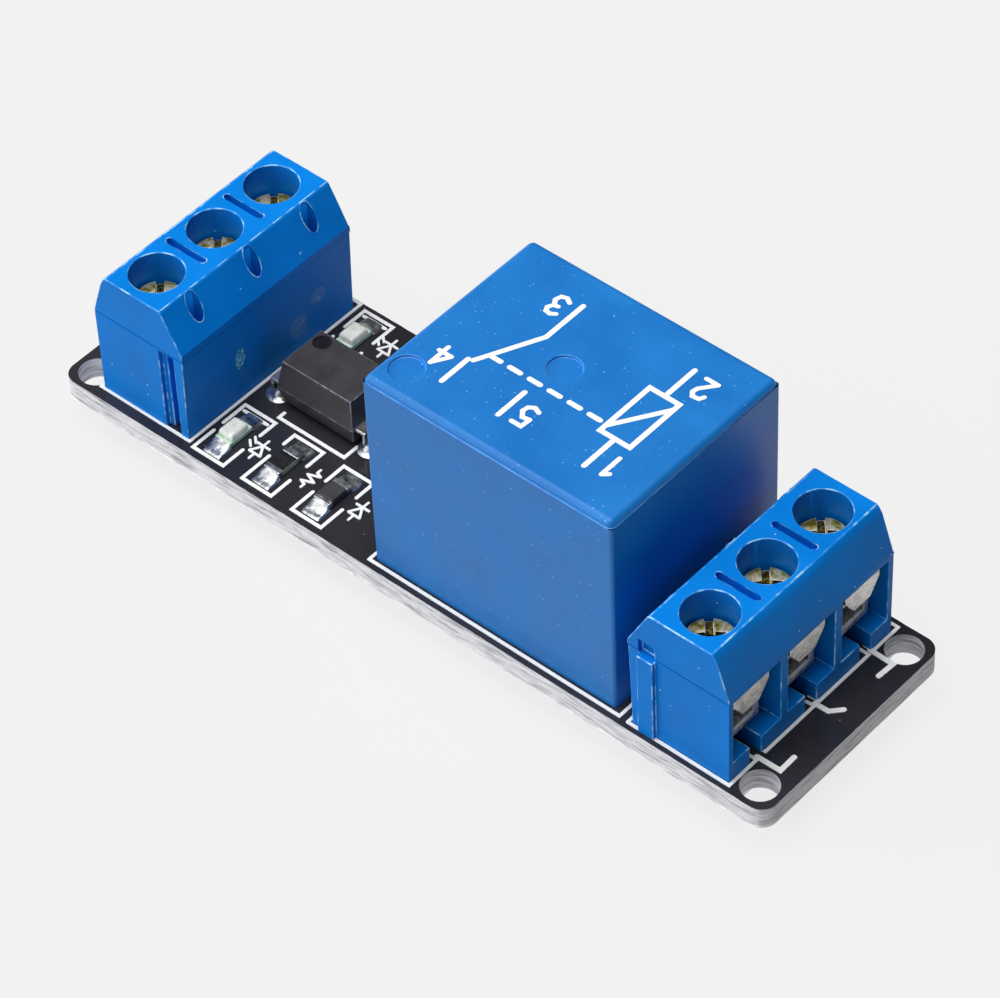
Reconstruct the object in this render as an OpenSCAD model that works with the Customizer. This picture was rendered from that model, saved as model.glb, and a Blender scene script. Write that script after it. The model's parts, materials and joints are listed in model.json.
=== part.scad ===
// One-channel relay module: a sealed power relay between two three-pole
// screw terminal blocks on a small circuit board, with its optocoupler,
// driver transistor and chip parts. Millimetres.
// Origin: centre of the board in plan, at the tips of the solder pins. +X runs
// from the input block to the output block, +Z up.

/* [Board] */
// Board length along X
board_l = 56.2; // [55:0.1:60]
// Board width along Y
board_w = 16.62; // [16.5:0.1:20]
// Board thickness
board_t = 1.6; // [1.2:0.1:2]
// Corner radius of the board outline
corner_r = 1.1; // [0.5:0.1:1.3]
// Mounting hole diameter
mount_d = 2.4; // [2:0.1:2.5]
// Edge to mounting hole centre, both ways
mount_inset = 1.6; // [1.5:0.05:1.7]
// Length of the solder pins below the board
pin_below = 1.9; // [1.5:0.1:2.5]

/* [Terminal blocks] */
// Distance between poles
pitch = 5.08; // [5:0.01:5.08]
// Height of the housing above the board
block_h = 10.05; // [9.7:0.05:10.4]
// Length of the housing along Y
block_l = 15; // [15:0.05:15.2]
// Board end to the screw line of the input block
input_inset = 6.31; // [6.2:0.01:6.6]
// Board end to the screw line of the output block
output_inset = 6.41; // [6.2:0.01:6.6]
// Screw hole diameter in the housing
access_d = 3.5; // [3.4:0.05:3.6]
// Screw head diameter
head_d = 3.1; // [2.9:0.05:3.2]
// Screw head top below the housing's top
head_sink = 1.85; // [1.6:0.05:2]
// Shank diameter of the clamp screw
shank_d = 2.9; // [2.7:0.05:3]
// Lift of the clamp cage from open to closed
cage_lift = 1.2; // [0.8:0.1:1.2]

/* [Relay] */
// Relay length along X
relay_l = 18.8; // [18.6:0.1:19.2]
// Relay width along Y
relay_w = 15; // [14.8:0.1:15.4]
// Relay height above the board
relay_h = 15.4; // [15.2:0.1:16]
// Gap between the relay and the back of the output block
relay_gap = 1.22; // [1:0.01:1.5]
// Wall of the relay cover
cover_t = 0.8; // [0.6:0.05:0.9]
// Swing of the armature, degrees
armature_swing = 2; // [1:0.5:2]

/* [Small parts] */
// Chip part length
chip_l = 2; // [1.8:0.1:2.1]
// Chip part width
chip_w = 1.25; // [1.1:0.05:1.3]
// Optocoupler body length along X
opto_l = 6.3; // [6:0.1:6.5]
// Optocoupler body width along Y
opto_w = 4.2; // [4:0.1:4.5]
// Optocoupler height above the board
opto_h = 3.75; // [3.5:0.05:4]

/* [Hidden] */
$fn = 48;
eps = 0.01;
top = pin_below + board_t;
mount_x = board_l / 2 - mount_inset;
mount_y = board_w / 2 - mount_inset;
tip = -top;
input_x = -board_l / 2 + input_inset;
input_y = 0.1;
output_x = board_l / 2 - output_inset;
output_y = -0.2;

// terminal block, in its own frame: screw axis at x = 0, wire side +X, z = 0 on the board
poles = [-pitch, 0, pitch];
front_x = 3.33;
back_x = -3.85;
top_front_x = 2.2;
top_back_x = -2.6;
shoulder_front = 6.9;
shoulder_back = 7.2;
back_bulge = 0.2;
floor_z = 1.4;
lip_z = 6.45;
lip_x = 2.4;
rear_x = -2.1;
partition = 0.65;
cell_mid = pitch / 2 - 0.065 - partition / 2;
end_wall = 0.4;
slot_w = 1.05;
rib_p = 0.3;
rib_x = -3.2;
rib_w = 1.15;
rib_h = 6.5;
notch_h = 1.1;
probe_d = 1.05;
groove_w = 0.48;
groove_x0 = -1.46;
groove_x1 = 1.36;

// contact strip
strip_t = 0.5;
bar_z = 4.25;
bar_top = bar_z + strip_t;
bar_w = 2;
flap_w = 3.2;
flap_foot = 1.5;
flap_t = 0.4;
flap_x = 2.6;
pin_w = 0.9;
pin_hole_d = 1.3;

// clamp cage and screw
cage_w = 3.6;
cage_wall = 0.5;
cage_x0 = -1.25;
cage_x1 = 2.1;
cage_z = floor_z + 0.05;
cage_floor = 0.6;
cage_plate = 0.9;
cage_top = bar_top + 0.1 + cage_plate;
pocket_z = cage_top + cage_lift + 0.15;
nut_d = shank_d + 0.1;
head_top = block_h - head_sink;
head_z = pocket_z + 0.05;
tip_z = bar_top + 0.05;
slot_turn = -47;

// relay, in its own frame: centre in plan, z = 0 on the board
relay_x = output_x + back_x - back_bulge - relay_gap - relay_l / 2;
relay_side = relay_x - relay_l / 2;
cover_r = 0.25;
lid_r = 0.45;
lid_step = 0.05;
mark_d = 2.2;
mark_deep = 0.18;
vent = [-relay_l / 2 + 1.65, -relay_w / 2 + 2.1];
gate = [-0.7, 0.3];
hx = relay_l / 2 - cover_t;
hy = relay_w / 2 - cover_t;
cavity_top = relay_h - cover_t;
base_z = 0.3;
base_t = 1.3;
frame_z = base_z + base_t;
yoke_t = 1.4;
yoke_w = 9;
yoke_x = -hx + 0.5;
core_d = 4;
pole_d = 6.2;
pole_t = 0.8;
spool_d = 10;
core_x = yoke_x + yoke_t + 0.1 + spool_d / 2;
spool_z = frame_z + yoke_t;
wire_d = 9.2;
yoke_top = 11.6;
arm_z = yoke_top + 0.1;
arm_t = 1;
arm_lap = 0.5;
spring_w = 3.4;
spring_t = 0.25;
spring_back = 1;
spring_lap = 1.4;
rivet_d = 1.2;
spring_z = arm_z + arm_t;
contact_x = relay_l / 2 - 3.2;
pin_x = relay_l / 2 - 2.6;
post_y = relay_w / 2 - 1.5;
pole_face = arm_z - 0.4;
button_d = 2.2;
button_t = 0.2;
mover_t = 0.45;
contact_gap = 0.06;
finger_w = 2.6;
finger_t = 0.35;
no_drop = (contact_x - yoke_x) * sin(armature_swing) + contact_gap;
no_top = spring_z - mover_t - no_drop;
nc_bottom = spring_z + spring_t + mover_t + contact_gap;
blade_t = 0.5;
blade_w = 0.9;
coil_x = -relay_l / 2 + 4;
com_x = -relay_l / 2 + 2.05;
coil_pin_d = 0.7;
coil_pin_up = 1.6;
ear_l = 1.6;
ear_out = 0.55;
ear_in = 3.4;
flange_t = 0.7;
relay_hole_d = 1.3;
relay_tip = tip + 0.3;

// small parts, centres on the board
bay_x = input_x - back_x + back_bulge;
bay = relay_side - bay_x;
opto_y = 0.4;
opto_z = 0.25;
opto_draft = 0.33;
dimple_d = 1.2;
dimple_in = 1.1;
lead_row = 3.81;
lead_pitch = 1.27;
lead_w = 1.2;
lead_t = 0.25;
lead_tail = 0.5;
lead_step = 0.7;
ridge_z = 1.65;
opto_hole_d = 0.9;
chip_y = relay_w / 2 - 2.14;
led_1 = [bay_x + 0.111 * bay, -chip_y];
led_2 = [bay_x + 0.113 * bay, chip_y + 0.15];
res_1 = [bay_x + 0.378 * bay, -chip_y];
diode_1 = [bay_x + 0.646 * bay, -chip_y];
res_2 = [bay_x + 0.6 * bay, chip_y + 0.2];
res_3 = [bay_x + 0.44 * bay, chip_y + 0.2];
transistor = [bay_x + 0.845 * bay, chip_y - 0.35];
chip_h = 0.5;
cap_l = 0.35;
seat = 0.05;
led_h = 0.4;
lens_l = 1.6;
lens_h = 0.42;
sot = [2.9, 1.3, 1.05];
sot_pitch = 0.95;
sot_lead_w = 0.4;
sot_lead_t = 0.15;
sot_reach = 1.2;

// solder
cone_d = 2.2;
cone_h = 1.2;
coil_cone_d = 2;
opto_cone_d = 1.6;
opto_reach = lead_row + opto_cone_d / 2;
opto_x = bay_x + opto_reach + 0.0945 * (bay - 2 * opto_reach);
opto_cone_h = 0.9;
fillet_l = 0.95;
fillet_h = 0.42;

blue = "#0a6fd6";
relay_blue = "#0070d2";
tin = "#b9bab4";
steel = "#a8a49b";
brass = "#b9a86a";
copper = "#b8703a";
black = "#1e1c23";
chalk = "#f2f2ee";
iron = "#7d7f82";
solder = "#cfd2d4";

// box given by its low corner and its high corner
module span(low, high) {
    translate(low)
        cube(high - low);
}

// straight hole or disc along Z between two heights
module disc(d, z0, z1) {
    translate([0, 0, z0])
        cylinder(d = d, h = z1 - z0);
}

// box with sloping sides: half sizes at the bottom, at the widest line and at the top
module moulded(size, z0, ridge, z1, draft) {
    a = size.x / 2;
    b = size.y / 2;
    intersection() {
        rotate([90, 0, 0])
            linear_extrude(size.y, center = true)
                polygon([[-a + draft, z0], [a - draft, z0], [a, ridge],
                    [a - draft, z1], [-a + draft, z1], [-a, ridge]]);
        rotate([90, 0, 90])
            linear_extrude(size.x, center = true)
                polygon([[-b + draft, z0], [b - draft, z0], [b, ridge],
                    [b - draft, z1], [-b + draft, z1], [-b, ridge]]);
    }
}

module on_board() {
    translate([0, 0, top])
        children();
}

module at_input() {
    translate([input_x, input_y, top])
        rotate([0, 0, 180])
            children();
}

module at_output() {
    translate([output_x, output_y, top])
        children();
}

module at_relay() {
    translate([relay_x, 0, top])
        children();
}

// ---- board ----

module board_outline() {
    l = board_l / 2;
    w = board_w / 2;
    union() {
        square([board_l - 2 * corner_r, board_w], center = true);
        square([board_l, board_w - 2 * corner_r], center = true);
        for (x = [-1, 1], y = [-1, 1])
            translate([x * (l - corner_r), y * (w - corner_r)])
                circle(r = corner_r);
    }
}

module block_holes() {
    for (y = poles)
        translate([rear_x + strip_t / 2, y, 0])
            disc(pin_hole_d, -board_t - 1, 1);
}

module relay_holes() {
    translate([com_x, 0, 0])
        disc(relay_hole_d, -board_t - 1, 1);
    for (y = [-post_y, post_y]) {
        translate([pin_x, y, 0])
            disc(relay_hole_d, -board_t - 1, 1);
        translate([coil_x, y, 0])
            disc(relay_hole_d, -board_t - 1, 1);
    }
}

module opto_places() {
    for (x = [-lead_row, lead_row], y = [-lead_pitch, lead_pitch])
        translate([opto_x + x, opto_y + y, 0])
            children();
}

module pcb() {
    color(black)
        difference() {
            translate([0, 0, pin_below])
                linear_extrude(board_t)
                    board_outline();
            for (x = [-mount_x, mount_x], y = [-mount_y, mount_y])
                translate([x, y, 0])
                    disc(mount_d, pin_below - 1, top + 1);
            at_input()
                block_holes();
            at_output()
                block_holes();
            at_relay()
                relay_holes();
            on_board()
                opto_places()
                    disc(opto_hole_d, -board_t - 1, 1);
        }
}

// ---- terminal block ----

module housing_profile() {
    polygon([[back_x, 0], [front_x, 0], [front_x, shoulder_front],
        [top_front_x + 0.25, block_h - 0.5], [top_front_x, block_h - 0.12],
        [top_front_x - 0.15, block_h], [top_back_x + 0.15, block_h],
        [top_back_x, block_h - 0.1], [back_x - back_bulge, shoulder_back],
        [back_x - back_bulge, shoulder_back - 0.6]]);
}

// wire chamber of one pole, between two partitions, open at the front
module chamber(y0, y1) {
    span([rear_x, y0, floor_z], [front_x + 1, y1, lip_z]);
    span([cage_x0 - 0.3, y0, floor_z], [lip_x, y1, pocket_z]);
}

// upright hole for a test probe; it leaves a long oval on the back slope
module probe_pocket() {
    translate([top_back_x + 0.08 - probe_d / 2, 0, 0])
        disc(probe_d, shoulder_back - 0.1, block_h + 1);
}

module housing() {
    end = block_l / 2;
    half = pitch / 2;
    difference() {
        union() {
            rotate([90, 0, 0])
                linear_extrude(block_l, center = true)
                    housing_profile();
            span([rib_x, -end - rib_p, 0], [rib_x + rib_w, -end + eps, rib_h]);
        }
        chamber(-cell_mid, cell_mid);
        chamber(cell_mid + partition, end - end_wall);
        chamber(-end + end_wall, -cell_mid - partition);
        for (y = poles)
            translate([0, y, 0]) {
                disc(access_d, floor_z + 1, block_h + 1);
                span([rear_x, -slot_w / 2, -1], [front_x + 1, slot_w / 2, floor_z + eps]);
                probe_pocket();
            }
        // grooves between the poles on the top
        for (y = [-half, half]) {
            span([groove_x0, y - groove_w / 2, block_h - 0.7], [groove_x1, y + groove_w / 2, block_h + 1]);
            for (x = [groove_x0, groove_x1])
                translate([x, y, 0])
                    disc(groove_w, block_h - 0.7, block_h + 1);
        }
        // socket for the neighbour's rib with a core slot behind it, and the notch above the rib
        span([rib_x - 0.05, end - rib_p - 0.05, -1], [rib_x + rib_w + 0.05, end + 1, rib_h + 0.05]);
        span([rib_x + 0.05, end - 1.1, -1], [rib_x + 0.8, end, rib_h + 0.05]);
        span([rib_x - 0.1, -end - 1, rib_h], [rib_x + rib_w, -end + 0.4, rib_h + notch_h]);
        // fine joint line around both ends
        for (s = [-1, 1])
            translate([0, s * end, shoulder_front - 0.2])
                cube([12, 0.16, 0.1], center = true);
    }
}

module pin_profile() {
    span([rear_x, -pin_w / 2, tip], [rear_x + strip_t, pin_w / 2, floor_z + eps]);
}

// fixed contact: cut-cornered flap in the wire entry, bar through the cage, rear leg and solder pin
module contact() {
    a = flap_w / 2;
    b = flap_foot / 2;
    translate([flap_x, 0, 0])
        rotate([90, 0, 90])
            linear_extrude(flap_t)
                polygon([[-b, bar_z], [b, bar_z], [a, bar_z + 1.2], [a, lip_z],
                    [-a, lip_z], [-a, bar_z + 1.2]]);
    span([lip_x - 0.1, -b, bar_z], [flap_x + eps, b, bar_top]);
    span([rear_x, -bar_w / 2, bar_z], [lip_x, bar_w / 2, bar_top]);
    span([rear_x, -bar_w / 2, floor_z], [rear_x + strip_t, bar_w / 2, bar_top]);
    pin_profile();
}

// rising clamp: a square loop with a tapped top plate and a grooved floor
module cage() {
    w = cage_w / 2;
    difference() {
        span([cage_x0, -w, cage_z], [cage_x1, w, cage_top]);
        span([cage_x0 - 1, -w + cage_wall, cage_z + cage_floor],
            [cage_x1 + 1, w - cage_wall, cage_top - cage_plate]);
        disc(nut_d, tip_z - cage_lift - 0.2, cage_top + 1);
        for (y = [-1 : 0.4 : 1])
            translate([(cage_x0 + cage_x1) / 2, y, cage_z + cage_floor])
                rotate([45, 0, 0])
                    cube([6, 0.15, 0.15], center = true);
    }
}

// clamp screw: flat head with a slot and a cross, plain shank at the thread's outer size
module screw() {
    difference() {
        union() {
            disc(head_d, head_z, head_top);
            disc(shank_d, tip_z, head_z + eps);
        }
        translate([0, 0, head_top])
            rotate([0, 0, slot_turn]) {
                cube([4, 0.55, 1.1], center = true);
                cube([0.55, 1.9, 1.1], center = true);
            }
    }
}

// ---- relay ----

// quarter-round cap, flat side down
module round_cap(r) {
    rotate_extrude($fn = 24)
        polygon([[0, 0], for (a = [0 : 15 : 90]) r * [cos(a), sin(a)]]);
}

// crisp upright corners, and a cushioned lid set in by a fine step
module relay_cover() {
    wall_top = relay_h - lid_r;
    lid_x = relay_l / 2 - lid_step - lid_r;
    lid_y = relay_w / 2 - lid_step - lid_r;
    at_relay()
        color(relay_blue)
            difference() {
                union() {
                    linear_extrude(wall_top)
                        offset(r = cover_r, $fn = 24)
                            square([relay_l - 2 * cover_r, relay_w - 2 * cover_r], center = true);
                    hull()
                        for (x = [-lid_x, lid_x], y = [-lid_y, lid_y])
                            translate([x, y, wall_top])
                                round_cap(lid_r);
                }
                span([-hx, -hy, -1], [hx, hy, cavity_top]);
                for (p = [vent, gate])
                    translate([p.x, p.y, 0])
                        disc(mark_d, relay_h - mark_deep, relay_h + 1);
            }
}

module blade_cut(x, y) {
    span([x - blade_t / 2, y - blade_w / 2, tip], [x + blade_t / 2, y + blade_w / 2, frame_z + 1]);
}

module relay_base() {
    at_relay()
        color(black)
            difference() {
                span([-hx + 0.1, -hy + 0.1, base_z], [hx - 0.1, hy - 0.1, frame_z]);
                blade_cut(com_x, 0);
                blade_cut(pin_x, -post_y);
                blade_cut(pin_x, post_y);
                for (y = [-post_y, post_y])
                    translate([coil_x, y, 0])
                        disc(coil_pin_d, 0, frame_z + 1);
            }
}

module coil_bobbin() {
    low = spool_z;
    high = pole_face - pole_t;
    at_relay()
        color(chalk)
            difference() {
                union() {
                    translate([core_x, 0, 0]) {
                        disc(core_d + 1, low, high);
                        disc(spool_d, low, low + flange_t);
                        disc(spool_d, high - flange_t, high);
                    }
                    for (s = [-1, 1])
                        translate([coil_x, s * post_y, 0])
                            span([-ear_l / 2, s > 0 ? -ear_in : -ear_out, frame_z],
                                [ear_l / 2, s > 0 ? ear_out : ear_in, low + flange_t]);
                }
                translate([core_x, 0, 0])
                    disc(core_d, low - 1, high + 1);
                span([yoke_x - 1, -yoke_w / 2, frame_z - 1], [hx, yoke_w / 2, low]);
                for (y = [-post_y, post_y])
                    translate([coil_x, y, 0])
                        disc(coil_pin_d, 0, low + 2);
            }
}

module coil_winding() {
    at_relay()
        translate([core_x, 0, 0])
            color(copper)
                difference() {
                    disc(wire_d, spool_z + flange_t, pole_face - pole_t - flange_t);
                    disc(core_d + 1, 0, relay_h);
                }
}

module coil_core() {
    at_relay()
        translate([core_x, 0, 0])
            color(iron) {
                disc(core_d, spool_z, pole_face - eps);
                disc(pole_d, pole_face - pole_t, pole_face);
            }
}

module coil_pins() {
    at_relay()
        color(tin)
            for (y = [-post_y, post_y])
                translate([coil_x, y, 0])
                    disc(coil_pin_d, relay_tip, spool_z + coil_pin_up);
}

// magnet frame: a bottom bar under the coil and an upright behind it
module yoke() {
    at_relay()
        color(iron) {
            span([yoke_x, -yoke_w / 2, frame_z], [core_x + pole_d / 2 + 0.3, yoke_w / 2, spool_z]);
            span([yoke_x, -yoke_w / 2, frame_z], [yoke_x + yoke_t, yoke_w / 2, yoke_top]);
        }
}

module armature() {
    at_relay()
        color(iron)
            span([yoke_x, -yoke_w / 2, arm_z], [core_x + pole_d / 2 + arm_lap, yoke_w / 2, spring_z]);
}

module contact_spring() {
    at_relay()
        color(copper)
            difference() {
                span([yoke_x + spring_back, -spring_w / 2, spring_z],
                    [contact_x + spring_lap, spring_w / 2, spring_z + spring_t]);
                translate([contact_x, 0, 0])
                    disc(rivet_d, 0, relay_h);
            }
}

// double-sided contact rivet at the end of the spring
module moving_contact() {
    at_relay()
        translate([contact_x, 0, 0])
            color(tin) {
                disc(rivet_d, spring_z, spring_z + spring_t);
                disc(button_d, spring_z - mover_t, spring_z);
                disc(button_d, spring_z + spring_t, spring_z + spring_t + mover_t);
            }
}

module blade(x, y, low, high) {
    span([x - blade_t / 2, y - blade_w / 2, low], [x + blade_t / 2, y + blade_w / 2, high]);
}

module common_terminal() {
    at_relay()
        color(tin)
            blade(com_x, 0, relay_tip, frame_z);
}

module closed_terminal() {
    low = nc_bottom + button_t;
    at_relay()
        color(brass) {
            blade(pin_x, post_y, relay_tip, low + finger_t);
            span([contact_x - finger_w / 2, -finger_w / 2, low],
                [pin_x + blade_t / 2, post_y + blade_w / 2, low + finger_t]);
        }
}

module open_terminal() {
    high = no_top - button_t;
    at_relay()
        color(brass) {
            blade(pin_x, -post_y, relay_tip, high);
            span([contact_x - finger_w / 2, -post_y - blade_w / 2, high - finger_t],
                [pin_x + blade_t / 2, finger_w / 2, high]);
        }
}

module closed_contact() {
    at_relay()
        color(tin)
            translate([contact_x, 0, 0])
                disc(button_d, nc_bottom, nc_bottom + button_t);
}

module open_contact() {
    at_relay()
        color(tin)
            translate([contact_x, 0, 0])
                disc(button_d, no_top - button_t, no_top);
}

// ---- small parts ----

module opto_body() {
    on_board()
        color(black)
            translate([opto_x, opto_y, 0])
                difference() {
                    moulded([opto_l, opto_w], opto_z, ridge_z, opto_h, opto_draft);
                    translate([-opto_l / 2 + dimple_in, opto_w / 2 - dimple_in, 0])
                        disc(dimple_d, opto_h - 0.1, opto_h + 1);
                    for (x = [-1, 1], y = [-lead_pitch, lead_pitch])
                        translate([x * opto_l / 2, y, ridge_z])
                            cube([0.8, lead_w, lead_t], center = true);
                }
}

module opto_lead() {
    run = lead_row - opto_l / 2;
    t = lead_t / 2;
    w = lead_w / 2;
    span([-run - 0.4, -w, ridge_z - t], [t, w, ridge_z + t]);
    span([-t, -w, lead_step], [t, w, ridge_z + t]);
    span([-t, -lead_tail / 2, relay_tip], [t, lead_tail / 2, lead_step + eps]);
}

module opto_leads() {
    on_board()
        color(tin)
            for (s = [0, 180], y = [-lead_pitch, lead_pitch])
                translate([opto_x, opto_y, 0])
                    rotate([0, 0, s])
                        translate([lead_row, y, 0])
                            opto_lead();
}

module at_chip(p) {
    translate([p.x, p.y, top])
        children();
}

module led_base(p) {
    at_chip(p)
        color(chalk)
            span([-chip_w / 2, -chip_l / 2, seat], [chip_w / 2, chip_l / 2, led_h]);
}

module led_lens(p) {
    at_chip(p)
        color([0.9, 0.95, 0.85, 0.8])
            translate([0, 0, led_h])
                intersection() {
                    moulded([chip_w, lens_l], -lens_h, 0, lens_h, 0.1);
                    span([-chip_w, -chip_l, 0], [chip_w, chip_l, 2 * lens_h]);
                }
}

module chip_body(p, h, c) {
    at_chip(p)
        color(c)
            span([-chip_w / 2, -chip_l / 2 + cap_l, seat], [chip_w / 2, chip_l / 2 - cap_l, h]);
}

module chip_caps(p, h) {
    at_chip(p)
        color(tin)
            for (s = [0, 180])
                rotate([0, 0, s])
                    span([-chip_w / 2, -chip_l / 2, seat], [chip_w / 2, -chip_l / 2 + cap_l, h]);
}

module transistor_body() {
    at_chip(transistor)
        color(black)
            moulded([sot.x, sot.y], 0.1, sot.z / 2, sot.z, 0.08);
}

// gull-wing lead: out of the body's side, down and out to its foot
module sot_lead() {
    w = sot_lead_w / 2;
    t = sot_lead_t;
    mid = sot.z / 2;
    knee = -sot.y / 2 - 0.25;
    span([-w, knee, mid], [w, -sot.y / 2, mid + t]);
    span([-w, knee, 0.02], [w, knee + t, mid + t]);
    span([-w, -sot_reach, 0.02], [w, knee + t, 0.02 + t]);
}

module transistor_leads() {
    at_chip(transistor)
        color(tin)
            for (p = [[-sot_pitch, 0], [sot_pitch, 0], [0, 180]])
                translate([p.x, 0, 0])
                    rotate([0, 0, p.y])
                        sot_lead();
}

// ---- solder ----

// cone under the board with its filled hole; the pin's own shape is cut out after
module joint(d, h, hole) {
    translate([0, 0, -board_t - h])
        cylinder(d1 = d * 0.5, d2 = d, h = h);
    disc(hole, -board_t - eps, -0.1);
}

module block_solder() {
    color(solder)
        for (y = poles)
            difference() {
                translate([rear_x + strip_t / 2, y, 0])
                    joint(cone_d, cone_h, pin_hole_d);
                translate([0, y, 0])
                    pin_profile();
            }
}

module solder_relay() {
    at_relay()
        color(solder) {
            for (p = [[com_x, 0], [pin_x, -post_y], [pin_x, post_y]])
                difference() {
                    translate([p.x, p.y, 0])
                        joint(cone_d, cone_h, relay_hole_d);
                    blade_cut(p.x, p.y);
                }
            for (y = [-post_y, post_y])
                translate([coil_x, y, 0])
                    difference() {
                        joint(coil_cone_d, cone_h, relay_hole_d);
                        disc(coil_pin_d, tip, 1);
                    }
        }
}

module solder_opto() {
    on_board()
        color(solder)
            opto_places()
                difference() {
                    union() {
                        joint(opto_cone_d, opto_cone_h, opto_hole_d);
                        disc(opto_hole_d, -0.2, eps);
                        cylinder(d1 = opto_cone_d, d2 = opto_cone_d / 2, h = lead_step - 0.15);
                    }
                    span([-lead_t / 2, -lead_tail / 2, tip], [lead_t / 2, lead_tail / 2, 1]);
                }
}

module fillet_pair(p) {
    at_chip(p)
        for (s = [0, 180])
            rotate([0, 0, s])
                translate([-chip_w / 2 - 0.05, -chip_l / 2, 0])
                    rotate([90, 0, 90])
                        linear_extrude(chip_w + 0.1)
                            polygon([[0, 0], [-fillet_l, 0], [-fillet_l * 0.9, fillet_h * 0.3],
                                [-fillet_l * 0.35, fillet_h * 0.5], [0, fillet_h]]);
}

module solder_chips() {
    color(solder) {
        for (p = [led_1, led_2, res_1, res_2, res_3, diode_1])
            fillet_pair(p);
        at_chip(transistor)
            for (p = [[-sot_pitch, -1], [sot_pitch, -1], [0, 1]])
                translate([p.x, p.y * (sot_reach + 0.15), 0.075])
                    cube([sot_lead_w + 0.3, 0.3, 0.15], center = true);
    }
}

// ---- named sub-parts ----

module housing_in() {
    at_input()
        color(blue)
            housing();
}

module housing_out() {
    at_output()
        color(blue)
            housing();
}

module contact_in(k) {
    at_input()
        translate([0, poles[k], 0])
            color(steel)
                contact();
}

module contact_out(k) {
    at_output()
        translate([0, poles[k], 0])
            color(steel)
                contact();
}

module cage_in(k) {
    at_input()
        translate([0, poles[k], 0])
            color(tin)
                cage();
}

module cage_out(k) {
    at_output()
        translate([0, poles[k], 0])
            color(tin)
                cage();
}

module screw_in(k) {
    at_input()
        translate([0, poles[k], 0])
            color(brass)
                screw();
}

module screw_out(k) {
    at_output()
        translate([0, poles[k], 0])
            color(brass)
                screw();
}

module solder_in() {
    at_input()
        block_solder();
}

module solder_out() {
    at_output()
        block_solder();
}

pcb();
housing_in();
housing_out();
contact_in(0);  // contact_in_1
contact_in(1);  // contact_in_2
contact_in(2);  // contact_in_3
contact_out(0);  // contact_out_1
contact_out(1);  // contact_out_2
contact_out(2);  // contact_out_3
cage_in(0);  // cage_in_1
cage_in(1);  // cage_in_2
cage_in(2);  // cage_in_3
cage_out(0);  // cage_out_1
cage_out(1);  // cage_out_2
cage_out(2);  // cage_out_3
screw_in(0);  // screw_in_1
screw_in(1);  // screw_in_2
screw_in(2);  // screw_in_3
screw_out(0);  // screw_out_1
screw_out(1);  // screw_out_2
screw_out(2);  // screw_out_3
relay_cover();
relay_base();
coil_bobbin();
coil_winding();
coil_core();
coil_pins();
yoke();
armature();
contact_spring();
moving_contact();
common_terminal();
closed_terminal();
open_terminal();
closed_contact();
open_contact();
opto_body();
opto_leads();
led_base(led_1);  // led_1_base
led_lens(led_1);  // led_1_lens
led_base(led_2);  // led_2_base
led_lens(led_2);  // led_2_lens
chip_body(res_1, chip_h, black);  // resistor_1
chip_caps(res_1, chip_h);  // resistor_1_caps
chip_body(res_2, chip_h, black);  // resistor_2
chip_caps(res_2, chip_h);  // resistor_2_caps
chip_body(res_3, chip_h, black);  // resistor_3
chip_caps(res_3, chip_h);  // resistor_3_caps
chip_body(diode_1, chip_h + 0.1, black);  // diode
chip_caps(diode_1, chip_h);  // diode_caps
transistor_body();
transistor_leads();
solder_in();
solder_out();
solder_relay();
solder_opto();
solder_chips();
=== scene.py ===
"""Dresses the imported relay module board: moulded blocks and relay, screws, solder, ink and finishes.

Every object is in metres in the part's own frame. Sizes are written in millimetres and are turned
into metres by mm() or MM.
"""
import json
import math
import random

import bmesh
import bpy
from mathutils import Matrix, Vector


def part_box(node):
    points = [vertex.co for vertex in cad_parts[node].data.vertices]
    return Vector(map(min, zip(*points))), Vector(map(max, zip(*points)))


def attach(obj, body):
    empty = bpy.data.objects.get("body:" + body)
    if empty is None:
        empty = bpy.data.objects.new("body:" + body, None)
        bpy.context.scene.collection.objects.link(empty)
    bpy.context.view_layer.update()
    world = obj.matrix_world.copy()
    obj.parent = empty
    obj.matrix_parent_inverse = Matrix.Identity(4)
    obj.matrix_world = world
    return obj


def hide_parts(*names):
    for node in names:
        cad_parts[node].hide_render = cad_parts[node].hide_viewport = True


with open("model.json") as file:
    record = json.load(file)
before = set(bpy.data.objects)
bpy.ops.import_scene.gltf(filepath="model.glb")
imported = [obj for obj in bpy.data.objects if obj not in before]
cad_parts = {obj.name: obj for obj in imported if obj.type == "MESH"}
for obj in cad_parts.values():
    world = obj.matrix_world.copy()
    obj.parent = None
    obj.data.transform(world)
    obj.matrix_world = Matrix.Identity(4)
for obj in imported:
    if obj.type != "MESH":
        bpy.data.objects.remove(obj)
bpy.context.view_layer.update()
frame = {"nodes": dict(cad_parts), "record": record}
scene = bpy.context.scene
MM = 0.001


def mm(*values):
    """A point or size in millimetres, as a vector in metres."""
    return Vector(values) * MM


def linked(name, data):
    """A new object in the scene."""
    item = bpy.data.objects.new(name, data)
    scene.collection.objects.link(item)
    return item


# ---- camera ----

camera = linked("camera", bpy.data.cameras.new("camera"))
scene.camera = camera
camera.data.sensor_width = 36
camera.data.lens = 166.12
camera.data.shift_x = -0.0492
camera.data.shift_y = 0.0016
camera.data.clip_start = 0.01
camera.data.clip_end = 20
camera.matrix_world = Matrix(
    (
        (0.75764, -0.45748, 0.46550, 0.132286),
        (0.65212, 0.56003, -0.51099, -0.139711),
        (-0.02692, 0.69071, 0.72263, 0.204888),
        (0, 0, 0, 1),
    )
)

# ---- places taken from the frame, in millimetres ----


def centre(node):
    """Middle of a CAD node in millimetres."""
    low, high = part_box(node)
    return (low + high) / 2 / MM


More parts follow.
